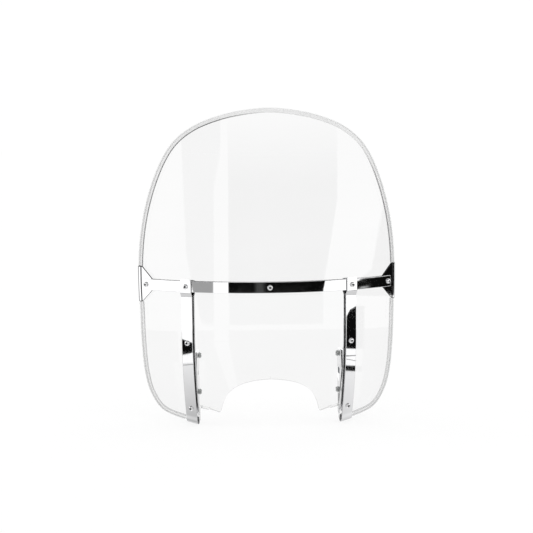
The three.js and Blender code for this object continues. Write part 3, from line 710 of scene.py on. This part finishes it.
def frontBrace(side, sign):
    hookAlong = alongAt(brace["hookAt"])
    middle = -sheet["thickness"] / 2
    bend = sheet["thickness"] / 2 + brace["hookGap"] + brace["hookWall"] / 2
    down = np.concatenate([
        downTo(brace["top"], hookAlong + 14), np.linspace(hookAlong + 13, hookAlong + 1, 12)])
    lowering = smoothStep((joggle["top"] - down) / joggle["length"])
    toHook = smoothStep((hookAlong + 12 - down) / 10)
    run = layers["cap"] + (gap - layers["cap"]) * lowering + brace["wall"] / 2
    run = run + (middle + bend - run) * toHook
    arc = np.linspace(0, np.pi, brace["hookSteps"])
    lip = np.linspace(1, brace["lip"], brace["lipSteps"])
    along = np.concatenate([down, hookAlong - brace["hookDepth"] * bend * np.sin(arc), hookAlong + lip])
    offset = np.concatenate([run, middle + bend * np.cos(arc), np.full(brace["lipSteps"], middle - bend)])
    pastEdge = np.ones(brace["hookSteps"] + brace["lipSteps"])
    wall = brace["wall"] + (brace["hookWall"] - brace["wall"]) * np.concatenate([toHook, pastEdge])
    atTop = np.arange(len(along)) < 20
    width = brace["width"] - narrowing(np.abs(along - brace["top"]), brace["corner"]) * atTop
    leaning = np.concatenate([smoothStep((hookAlong + 26 - down) / 24), pastEdge])
    lean = sign * np.tan(brace["slant"]) * leaning
    grid = barGrid(sign * braceAngle, along, offset, width, wall, brace["round"], lean)
    buildPiece(f"{side}Brace", [grid], "shield", [f"{side}_front_brace"],
               chromeUpright, sharp=40)


plate = {"wall": 2.5, "depth": 46.0, "top": -133.0, "bottom": -269.0, "splay": np.radians(8.5),
         "notch": 6.5, "upperNotch": -180.0, "lowerNotch": 27.0, "pinDepth": 36.5, "edge": 0.35,
         "topCorner": 12, "lowCorner": 10, "mouth": 1.2, "toe": 1.5, "toeRise": 8.6,
         "upperLength": 14, "lowerLength": 16, "slope": 0.966}
flangeStart, flangeAxes = seatAt(braceAngle, 0.0, layers["flange"])
plateCorner = flangeStart - (brace["width"] / 2 + bracket["lap"]) * flangeAxes[0]


def plateFrame(sign):
    # origin and axes of a side plate: rearward along it, up, and across it
    rearward = np.array([-sign * np.sin(plate["splay"]), np.cos(plate["splay"]), 0])
    up = np.array([0.0, 0.0, 1.0])
    corner = np.array([sign * plateCorner[0], plateCorner[1], 0.0])
    return corner, np.stack([rearward, up, np.cross(rearward, up)])


def arcPoints(x, y, radius, start, end, steps):
    angle = np.radians(np.linspace(start, end, steps))
    return np.stack([x + radius * np.cos(angle), y + radius * np.sin(angle)], axis=-1)


def plateOutline():
    # the plate's front edge follows the flange: (flange radius - sheet radius) / the plate's slope
    height = np.linspace(-257, plate["top"], 60)
    flangeRadius = rollRadiusAt(height, layers["flange"] + 0.8)
    root = (sheet["roll"] + layers["flange"] - flangeRadius) / plate["slope"]
    depth, top, bottom, notch = plate["depth"], plate["top"], plate["bottom"], plate["notch"]
    upper, lower = plate["upperNotch"], plate["lowerNotch"]
    corner, lowCorner, mouth, toe = plate["topCorner"], plate["lowCorner"], plate["mouth"], plate["toe"]
    return np.concatenate([
        np.stack([root, height], axis=-1),
        arcPoints(depth - corner, top - corner, corner, 90, 0, 16),
        [(depth, upper + notch + mouth)],
        arcPoints(depth - mouth, upper + notch + mouth, mouth, -10, -90, 5),
        arcPoints(depth - plate["upperLength"], upper, notch, 90, 270, 24),
        arcPoints(depth - mouth, upper - notch - mouth, mouth, 90, 0, 6),
        arcPoints(depth - lowCorner, bottom + lowCorner, lowCorner, 0, -80, 14),
        arcPoints(lower + notch + mouth, bottom + mouth, mouth, 270, 180, 6),
        arcPoints(lower, bottom + plate["lowerLength"], notch, 0, 180, 24),
        arcPoints(lower - notch - toe, bottom + plate["toeRise"], toe, 0, -110, 6)])


def sidePlate(sign):
    # the outline carried through the plate's wall, drawn in by a small round at both faces
    outline = plateOutline()
    tangent = np.roll(outline, -1, axis=0) - np.roll(outline, 1, axis=0)
    tangent /= np.linalg.norm(tangent, axis=-1, keepdims=True)
    inward = np.stack([tangent[:, 1], -tangent[:, 0]], axis=-1)
    half, edge = plate["wall"] / 2, plate["edge"]
    level = np.array([-half, -half + 0.3 * edge, -half + edge, half - edge, half - 0.3 * edge, half])
    drawn = np.array([1.0, 0.3, 0.0, 0.0, 0.3, 1.0]) * edge
    flat = outline[None] + drawn[:, None, None] * inward[None]
    origin, axes = plateFrame(sign)
    local = np.concatenate([flat, np.broadcast_to(level[:, None, None], flat.shape[:2] + (1,))], axis=-1)
    return gridOf(origin + local @ axes, ring=True, caps=True)


def sideBracket(side, sign):
    down = downTo(bracket["top"], alongAt(bracket["bottom"]))
    lowering = smoothStep((joggle["top"] - down) / joggle["length"])
    offset = (layers["flangeCap"] + (layers["flange"] - layers["flangeCap"]) * lowering
              + bracket["wall"] / 2)
    width = bracket["width"] - narrowing(np.abs(down - down[0]), bracket["corner"])
    angle = sign * (braceAngle - bracket["lap"] / 2 / sheet["roll"])
    flange = barGrid(angle, down, offset, width, np.full(len(down), bracket["wall"]),
                     bracket["round"], np.zeros(len(down)))
    buildPiece(f"{side}Bracket", [flange, sidePlate(sign)], "shield", [f"{side}_side_bracket"],
               chromeUpright, sharp=40)


for side, sign in sides:
    frontBrace(side, sign)
    sideBracket(side, sign)
print("braces and brackets made")

# ---- screws and nuts

m6 = {"shank": 3.0, "head": 5.25, "headHeight": 3.2, "key": 2.0, "keyDepth": 2.0, "flats": 5.0,
      "nut": 4.2, "dome": 4.6, "domeBase": 4.8, "bore": 3.3, "boreDepth": 7.5, "pitch": 1.0}
turnSteps = 72
turn = np.linspace(0, 2 * np.pi, turnSteps, endpoint=False)


def hexRadius(flats):
    # distance to a hexagon's side: half width across flats / cos(angle from the side's middle)
    return flats / np.cos(np.mod(turn + np.pi / 6, np.pi / 3) - np.pi / 6)


def turned(rings):
    # a profile turned round +Z: each ring is a level and a radius, plain or one for each angle
    radius = np.stack([np.broadcast_to(r, turn.shape) for _, r in rings])
    level = np.array([z for z, _ in rings], float)[:, None] + 0 * radius
    return np.stack([radius * np.cos(turn), radius * np.sin(turn), level], axis=-1)


def threaded(bottom, top):
    # rings whose radius rises and falls once per turn: r - depth * |saw(level / pitch - angle)|
    levels = np.arange(bottom, top, m6["pitch"] / 6)
    wave = np.abs(np.mod(levels[:, None] / m6["pitch"] - turn[None] / (2 * np.pi), 1) - 0.5) * 2
    return [(z, m6["shank"] - 0.45 * w) for z, w in zip(levels, wave)]


def screwGrid(length, thread):
    # tail, thread, shank, button head and its hexagonal socket, closed at both ends
    dome = np.linspace(0, 1.31, 9)
    socket = hexRadius(m6["key"])
    top = m6["headHeight"]
    rings = [(-length, 0.0), (-length, 2.3), *threaded(-length + 0.4, -length + thread),
             (-length + thread + 0.4, 3.0), (-0.02, 3.0), (0.0, 3.1), (0.0, 5.0), (0.25, m6["head"])]
    rings += [(0.5 + 2.7 * np.sin(a), 1.9 + 3.35 * np.cos(a)) for a in dome]
    rings += [(top - 0.03, socket * 1.07), (top - 0.2, socket), (top - m6["keyDepth"], socket * 0.99),
              (top - m6["keyDepth"] - 0.35, 0.0)]
    return turned(rings)


def capNutGrid():
    # a hexagon whose corners are turned off by cones, a neck, and a half round dome
    flats = hexRadius(m6["flats"])
    dome = np.linspace(0, np.pi / 2, 13)
    rings = [(m6["boreDepth"], 0.0), (m6["boreDepth"], 3.0), (0.5, 3.0), (0.0, m6["bore"]), (0.0, 4.9),
             (0.12, np.minimum(flats, 5.2)), (0.5, np.minimum(flats, 5.7)), (3.5, np.minimum(flats, 5.72)),
             (3.95, np.minimum(flats, 5.3)), (m6["nut"], 4.95), (m6["nut"], m6["dome"] + 0.05),
             (m6["domeBase"] - 0.2, m6["dome"])]
    rings += [(m6["domeBase"] + m6["dome"] * np.sin(a), m6["dome"] * np.cos(a)) for a in dome]
    return turned(rings)


def lockNutGrid():
    # a thin hexagon with a rolled collar, bored through
    flats = hexRadius(m6["flats"])
    rings = [(0.0, m6["bore"]), (0.0, 4.9), (0.12, np.minimum(flats, 5.2)), (0.5, np.minimum(flats, 5.7)),
             (2.9, np.minimum(flats, 5.72)), (3.3, np.minimum(flats, 5.3)), (3.6, 4.8), (3.75, 4.6),
             (4.5, 4.55), (4.85, 4.3), (5.0, 3.9), (4.95, 3.5), (4.7, m6["bore"])]
    return turned(rings)


def placed(local, origin, axes):
    return origin + local @ axes


def fastener(name, node, local, origin, axes, material, loop=False, shadedRings=0):
    # the last argument counts the last rings of the profile, down in a screw's socket, which get painted shade
    rows = len(local)
    paintedShade = (np.arange(rows) >= rows - shadedRings)[:, None] * 1.0
    buildPiece(name, [gridOf(placed(local, origin, axes), ring=True, loop=loop, marks={"paintedShade": paintedShade})],
               "shield", [node], material, sharp=34)


turnOver = np.array([[1.0, 0, 0], [0, -1.0, 0], [0, 0, -1.0]])
strapStack = (layers["strap"] + strap["wall"], layers["rearStrap"])
capStack = (layers["cap"] + brace["wall"], layers["flangeCap"])
thinStack = (gap + brace["wall"], layers["flange"])
screwSpots = [("centre", 0.0, 0.0, strapStack)]
for side, sign in sides:
    screwSpots += [
        (f"{side}_clip", sign * np.arcsin(243.5 / sheet["roll"]), 0.0, strapStack),
        (f"{side}_top", sign * braceAngle, 0.0, capStack),
        (f"{side}_middle", sign * braceAngle, -113.5, thinStack),
        (f"{side}_low", sign * braceAngle, -248.0, thinStack)]


def spun(axes, angle):
    # the same frame turned about its own third axis, so that no two sockets line up
    c, s = np.cos(angle), np.sin(angle)
    return np.array([[c, s, 0], [-s, c, 0], [0, 0, 1]]) @ axes


for order, (spot, angle, height, (front, rear)) in enumerate(screwSpots):
    origin, axes = seatAt(angle, height, front + gap)
    pieceName = spot.replace("_", "")
    fastener(f"{pieceName}Screw", f"{spot}_screw", screwGrid(front - rear + 2 * gap + 5.5, 5.0), origin,
             spun(axes, 0.7 * order + 0.2), chromePlate, shadedRings=2)
    origin, axes = seatAt(angle, height, rear - 0.5)
    fastener(f"{pieceName}CapNut", f"{spot}_cap_nut", capNutGrid(), origin, turnOver @ axes,
             chromePlate)

latch = {"wire": 1.6, "coil": 4.9, "coilPitch": 3.5, "coilTurns": 1.25, "pivot": -145.0, "stop": -219.5}
outboard = plate["wall"] / 2
coilStart = outboard + gap + latch["wire"]
coilEnd = coilStart + latch["coilPitch"] * latch["coilTurns"]
for side, sign in sides:
    origin, axes = plateFrame(sign)
    pins = (("pivot", latch["pivot"], coilEnd + latch["wire"] + gap),
            ("stop", latch["stop"], coilStart + latch["wire"] + gap))
    for kind, height, level in pins:
        length = level + outboard + gap + 5.5
        head = origin + np.array([plate["pinDepth"], height, sign * level]) @ axes
        fastener(f"{side}{kind}Pin", f"{side}_latch_{kind}_screw", screwGrid(length, 7.5), head,
                 axes if sign > 0 else turnOver @ axes, chromePlate, shadedRings=2)
        seat = origin + np.array([plate["pinDepth"], height, -sign * (outboard + gap)]) @ axes
        fastener(f"{side}{kind}Nut", f"{side}_latch_{kind}_nut", lockNutGrid(), seat,
                 turnOver @ axes if sign > 0 else axes, zincPlate, loop=True)
print("fasteners made")

# ---- latch wires


def latchKnots():
    # jaw, coil and thumb loop in a plate's frame: rearward, up, outward
    pin, notch, pivot, stop = plate["pinDepth"], plate["upperNotch"], latch["pivot"], latch["stop"]
    jaw = [(pin - 4, stop + latch["coil"] + 1), (pin + 4, stop + latch["coil"] + 2), (pin + 11, notch - 19),
           (pin + 13, notch - 5), (pin + 12, notch + 10), (pin + 7, pivot - 12)]
    jaw = np.array([(x, y, coilStart) for x, y in jaw])
    turns = np.linspace(0, latch["coilTurns"], 19)
    angle = turns * 2 * np.pi
    coil = np.stack([pin + latch["coil"] * np.cos(angle), pivot + latch["coil"] * np.sin(angle),
                     coilStart + latch["coilPitch"] * turns], axis=-1)
    thumb = [(pin - 6, pivot + 9, coilEnd + 0.5), (pin - 6, pivot + 15, coilEnd + 2),
             (pin - 1, pivot + 18, coilEnd + 5)]
    return np.concatenate([jaw, coil, thumb])


def throughKnots(knots, steps):
    # centripetal Catmull-Rom: Hermite pieces whose end slopes come from the square roots of
    # the distances between neighbouring knots
    ends = np.concatenate([[2 * knots[0] - knots[1]], knots, [2 * knots[-1] - knots[-2]]])
    a, b, c, d = ends[:-3], ends[1:-2], ends[2:-1], ends[3:]
    ab, bc, cd = (np.sqrt(np.linalg.norm(q - p, axis=1))[:, None] for p, q in ((a, b), (b, c), (c, d)))
    slopeB = ((b - a) / ab - (c - a) / (ab + bc) + (c - b) / bc) * bc
    slopeC = ((c - b) / bc - (d - b) / (bc + cd) + (d - c) / cd) * bc
    t = np.linspace(0, 1, steps, endpoint=False)[None, :, None]
    b, c, slopeB, slopeC = (value[:, None] for value in (b, c, slopeB, slopeC))
    cubic, square = 2 * b - 2 * c + slopeB + slopeC, -3 * b + 3 * c - 2 * slopeB - slopeC
    line = cubic * t**3 + square * t**2 + slopeB * t + b
    return np.concatenate([line.reshape(-1, 3), knots[-1:]])


def latchWire(side, sign):
    # a round tube along the line: place + r (cos k * n + sin k * m), n and m square to it;
    # r falls to nothing at both ends as sqrt(r^2 - d^2), which leaves rounded tips
    line = throughKnots(latchKnots(), 12) * np.array([1.0, 1.0, float(sign)])
    length = lengthsAlong(line)
    even = np.concatenate([[0, 0.05, 0.25, 0.6, 1.1], np.arange(1.6, length[-1] - 1.6, 0.7),
                           length[-1] - np.array([1.6, 1.1, 0.6, 0.25, 0.05, 0])])
    line = np.stack([np.interp(even, length, line[:, i]) for i in range(3)], axis=-1)
    tangent = np.gradient(line, axis=0)
    tangent /= np.linalg.norm(tangent, axis=1, keepdims=True)
    flat = np.array([0.0, 0.0, 1.0]) - tangent * tangent[:, 2:]
    flat /= np.linalg.norm(flat, axis=1, keepdims=True)
    other = np.cross(tangent, flat)
    fromEnd = np.minimum(even, length[-1] - even)
    radius = np.sqrt(np.clip(latch["wire"] ** 2 - np.clip(latch["wire"] - fromEnd, 0, None) ** 2, 0, None))
    around = np.linspace(0, 2 * np.pi, 18, endpoint=False)
    ringPlace = np.cos(around)[None, :, None] * flat[:, None] + np.sin(around)[None, :, None] * other[:, None]
    local = line[:, None] + radius[:, None, None] * ringPlace
    origin, axes = plateFrame(sign)
    marks = {"runAlong": even[:, None], "turnRound": np.abs(np.sin(around))[None]}
    buildPiece(f"{side}LatchWire", [gridOf(placed(local, origin, axes), ring=True, marks=marks)],
               f"{side}_latch", [f"{side}_latch_wire"], springSteel)


for side, sign in sides:
    latchWire(side, sign)
print("latch wires made")

# ---- studio: pale floor, white surround, and curved cards that only reflections see

studio = {"cardRadius": 2.4, "white": 1.4, "lit": 1.06, "seen": 1.009, "litFromBelow": 0.75, "floorSize": 80.0}


def surround():
    # white all round: the view gets the floor's own white, reflections a brighter one
    world = bpy.data.worlds.new("whiteStudio")
    bpy.context.scene.world = world
    world.use_nodes = True
    tree = world.node_tree
    tree.nodes.clear()
    rays = addNode(tree, "ShaderNodeLightPath").outputs
    shown = addNode(tree, "ShaderNodeMapRange", {
        0: rays["Is Camera Ray"], 3: studio["lit"], 4: studio["seen"]})
    level = addNode(tree, "ShaderNodeMapRange", {
        0: rays["Is Glossy Ray"], 3: shown.outputs[0], 4: studio["white"]})
    light = addNode(tree, "ShaderNodeBackground", {"Color": (1, 1, 1, 1), "Strength": level.outputs[0]})
    addNode(tree, "ShaderNodeOutputWorld", {"Surface": light.outputs[0]})


def floorPiece(height):
    half = studio["floorSize"] / 2
    x, y = np.meshgrid(*[np.linspace(-half, half, 9)] * 2)
    grid = gridOf(np.stack([x, y, np.full(x.shape, height)], axis=-1))
    mesh = bpy.data.meshes.new("paleFloor")
    mesh.from_pydata(grid["points"].tolist(), [], grid["faces"])
    material, tree = newMaterial("whitePaperSweep")
    fibre = noiseAt(tree, objectPlace(tree), 3.0, 3.0)
    colour = toneMix(tree, fibre, "#FCFCFC", "#FAFAFA")
    paper = addNode(tree, "ShaderNodeBsdfDiffuse", {"Color": colour}).outputs[0]
    below = addNode(tree, "ShaderNodeEmission", {"Strength": 1.04, "Color": colour}).outputs[0]
    surfaceOf(material, tree, shaderMix(tree, studio["litFromBelow"], paper, below))
    floor = addObject("paleFloor", mesh, material)
    floor.visible_glossy = False


def cardMaterial(name, tone, lowTone, soft):
    # a plain glowing card whose edges fade out over the soft share of its width and height
    material, tree = newMaterial(name)
    uv = addNode(tree, "ShaderNodeUVMap").outputs[0]
    split = addNode(tree, "ShaderNodeSeparateXYZ", {0: uv}).outputs
    edges = []
    for socket, width in enumerate(soft):
        distance = maths(tree, "ABSOLUTE", maths(tree, "SUBTRACT", split[socket], 0.5))
        edges.append(ranged(tree, distance, 1.0, 0.0, (0.5 - max(width, 0.001), 0.5), "SMOOTHSTEP"))
    level = addNode(tree, "ShaderNodeMapRange", {0: split[1], 3: lowTone, 4: tone}).outputs[0]
    glow = addNode(tree, "ShaderNodeEmission", {"Strength": level}).outputs[0]
    clear = addNode(tree, "ShaderNodeBsdfTransparent").outputs[0]
    mask = maths(tree, "MULTIPLY", *edges)
    material.cycles.emission_sampling = "NONE"
    return surfaceOf(material, tree, shaderMix(tree, mask, clear, glow))


def card(name, azimuth, low, high, tone, lowTone=None, soft=(0.04, 0.04), near=0.0, steps=40,
         lean=(0, 0)):
    # part of a cylinder about the part: azimuth in degrees from -Y toward +X along its lower
    # edge, moved by the lean at its upper one, and the heights of both edges, even or in steps
    u = np.linspace(0, 1, steps)
    v = np.linspace(0, 1, 9)
    low, high = (np.interp(u, np.linspace(0, 1, np.size(edge)), np.atleast_1d(edge))
                 for edge in (low, high))
    left, right = (azimuth[i] + lean[i] * v[:, None] for i in (0, 1))
    angle = np.radians(left + (right - left) * u[None])
    radius = studio["cardRadius"] - near
    z = low[None] + (high - low)[None] * v[:, None]
    points = np.stack([radius * np.sin(angle), -radius * np.cos(angle), z], axis=-1)
    grid = gridOf(points)
    mesh = bpy.data.meshes.new(name)
    mesh.from_pydata(grid["points"].tolist(), [], grid["faces"])
    uvs = np.stack(np.broadcast_arrays(u[None], v[:, None]), axis=-1).reshape(-1, 2)
    corners = np.zeros(len(mesh.loops), np.int32)
    mesh.loops.foreach_get("vertex_index", corners)
    mesh.uv_layers.new(name="UVMap").data.foreach_set("uv", uvs[corners].astype(np.float32).ravel())
    made = addObject(name, mesh, cardMaterial(name, tone, tone if lowTone is None else lowTone, soft))
    made.visible_camera = made.visible_diffuse = False
    made.visible_shadow = made.visible_transmission = False


surround()
floorPiece(cadBox[0][2] - 0.0004)
black = 0.004
# what the chrome mirrors: azimuths, lower and upper edges in metres, brightness, and for a
# card that changes upward its brightness at the foot
card("tableGlow", (-180, 180), -1.75, -0.285, 0.66, 0.7, soft=(0.0, 0.002), steps=120)
card("underTable", (-180, 180), -6.5, -1.7, 0.78, soft=(0.0, 0.01), steps=120)
card("ceilingRing", (-180, 180), 1.5, 6.5, 0.08, soft=(0.0, 0.05), steps=120)
card("darkRoom", (-24.8, 38.2), -0.15, 0.2, black, soft=(0.006, 0.0), near=0.05, lean=(0.3, 11.5))
card("darkRoomMiddle", (-24.5, 49.7), 0.2, 0.27, black, soft=(0.006, 0.0), near=0.05)
card("darkRoomUpper", (-24.5, 49.7), 0.27, 0.56, 1.4, black, soft=(0.006, 0.0), near=0.05)
card("darkRoomStripe", (-8.5, 0.5), -0.145, 0.27, 0.06, soft=(0.4, 0.01), near=0.06)
card("workBench", (-24.8, 39.5), -0.262, -0.14, 0.5, soft=(0.012, 0.05), near=0.04)
card("greyWall", (-54, -34), (0.0, -0.09, -0.17, -0.26, -0.27, -0.27, -0.27), 1.2, 0.42, soft=(0.04, 0.02),
     near=0.05, lean=(-8, 0))
card("greyWallCorner", (-35, -29), (0.20, 0.28, 0.36), 1.25, 0.4, soft=(0.1, 0.1), near=0.12, lean=(0, 1))
card("leftTube", (-36, -24.6), -0.4, 1.4, 1.3, 1.3, soft=(0.08, 0.01), near=0.1, lean=(5, 0.8))
card("leftTubeFoot", (-24, -18), -1.3, -0.39, 1.2, soft=(0.1, 0.02), near=0.1, lean=(-12.5, -6.8))
card("rightDarkLow", (54.0, 70.0), -0.495, (-0.23, -0.19, -0.178, -0.174, -0.172), black,
     soft=(0.01, 0.01), near=0.12)
card("rightDark", (62.2, 104), -0.14, (-0.088, -0.07, -0.04, 0.13, 0.28, 0.3, 0.3), black,
     soft=(0.01, 0.02), near=0.12)
card("rightDarkStreak", (62.2, 74.0), (-0.116, -0.108), (-0.109, -0.098), 0.8, soft=(0.45, 0.4), near=0.14)
card("rightDarkHaze", (62.2, 70.0), (-0.124, -0.12), (-0.12, -0.117), 0.5, soft=(0.45, 0.4), near=0.14)
card("leftSoftbox", (-61, -47.0), -0.664, -0.27, 1.25, soft=(0.01, 0.002), near=0.08)
card("rightSoftbox", (51.5, 70), -0.735, -0.27, 1.25, soft=(0.01, 0.002), near=0.08)
card("rightTable", (48, 72), -1.75, -0.79, 1.02, 0.74, soft=(0.01, 0.002), near=0.03)
card("leftTable", (-66, -42), -1.75, -0.66, 0.99, 0.46, soft=(0.01, 0.002), near=0.03)
card("rearTableRight", (140, 180), -1.75, -0.285, 0.98, 0.8, soft=(0.01, 0.002), near=0.03)
card("rearTableLeft", (-180, -140), -1.75, -0.285, 0.98, 0.8, soft=(0.01, 0.002), near=0.03)
card("leftDarkPatch", (-59.5, -48.5), (-0.561, -0.52), (-0.335, -0.41), black, soft=(0.02, 0.03), near=0.12)
card("leftDoor", (-118, -104), -0.8, 1.4, 0.02, soft=(0.03, 0.02), near=0.12)
card("leftRearDoor", (-146, -132), -0.8, 1.4, 0.02, soft=(0.03, 0.02), near=0.12)
card("rightRearDoor", (124, 146), -0.8, 1.4, 0.02, soft=(0.03, 0.02), near=0.12)
card("rightBar", (50, 70), -0.769, -0.694, black, soft=(0.02, 0.08), near=0.12)
card("rightStreak", (52, 67), (-0.60, -0.57), (-0.575, -0.56), 0.25, soft=(0.1, 0.3), near=0.12)
card("rightStreakLow", (52, 67), (-0.62, -0.645), (-0.61, -0.63), 0.35, soft=(0.1, 0.3), near=0.12)
card("leftLine", (-62, -48), -0.682, -0.668, 0.35, soft=(0.02, 0.3), near=0.12)
print("studio made")

# ---- camera

view = {"azimuth": -2.824, "elevation": 5.755, "distance": 2.6, "target": (-0.004, -0.0238, 0.1815),
        "lens": 87.8, "sensor": 36.0, "roll": 0.469}


def cameraPiece():
    # looks from its azimuth and elevation at the target, with a slight roll
    azimuth, elevation, roll = (np.radians(view[key]) for key in ("azimuth", "elevation", "roll"))
    back = np.array([
        np.sin(azimuth) * np.cos(elevation), -np.cos(azimuth) * np.cos(elevation), np.sin(elevation)])
    right = np.cross(-back, (0, 0, 1))
    right /= np.linalg.norm(right)
    up = np.cross(right, -back)
    turnedRight = right * np.cos(roll) - up * np.sin(roll)
    turnedUp = right * np.sin(roll) + up * np.cos(roll)
    place = np.eye(4)
    place[:3, :3] = np.stack([turnedRight, turnedUp, back], axis=1)
    place[:3, 3] = np.array(view["target"]) + back * view["distance"]
    data = bpy.data.cameras.new("productCamera")
    data.lens = view["lens"]
    data.sensor_width = view["sensor"]
    data.clip_end = 60
    camera = bpy.data.objects.new("productCamera", data)
    camera.matrix_world = Matrix(place.tolist())
    bpy.context.scene.collection.objects.link(camera)
    bpy.context.scene.camera = camera


cameraPiece()
bpy.context.scene.view_settings.view_transform = "Standard"
bpy.context.scene.cycles.transparent_max_bounces = 32
bpy.context.scene.cycles.max_bounces = 10
bpy.context.scene.cycles.glossy_bounces = 6

print("all pieces made")
